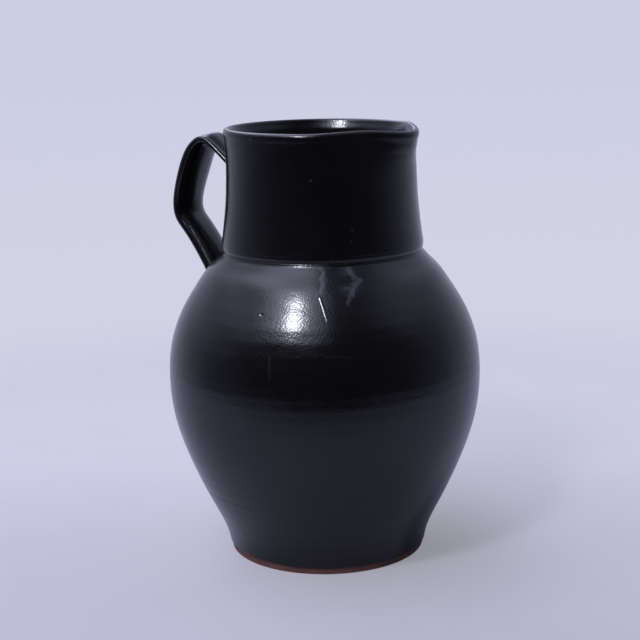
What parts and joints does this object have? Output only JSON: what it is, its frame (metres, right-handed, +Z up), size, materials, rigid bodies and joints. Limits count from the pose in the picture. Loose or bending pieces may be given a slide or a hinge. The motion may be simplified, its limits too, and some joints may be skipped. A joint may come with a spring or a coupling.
{
  "type": "oinochoe jug",
  "caption": "Wheel-thrown pouring jug with a full belly, a wide collar neck, a pulled lip and a strap handle, in red clay under black glaze.",
  "frame": {"origin": "centre of the flat base, on the jug's turning axis", "axes": "+Z up along the turning axis, +X towards the pouring lip, -X towards the handle"},
  "size_m": [0.1979, 0.1904, 0.2609],
  "materials": {
    "red_clay": "matt fired red-brown clay",
    "joining_slip": "matt fired clay slip",
    "black_glaze": "satin to glossy black glaze"
  },
  "bodies": {
    "root": {"thrown_body": "red_clay", "thrown_neck": "red_clay", "pulled_handle": "red_clay", "neck_seam_slip": "joining_slip", "handle_top_slip": "joining_slip", "handle_foot_slip": "joining_slip", "body_glaze": "black_glaze", "neck_glaze": "black_glaze", "handle_glaze": "black_glaze", "liner_glaze": "black_glaze"}
  },
  "joints": []
}
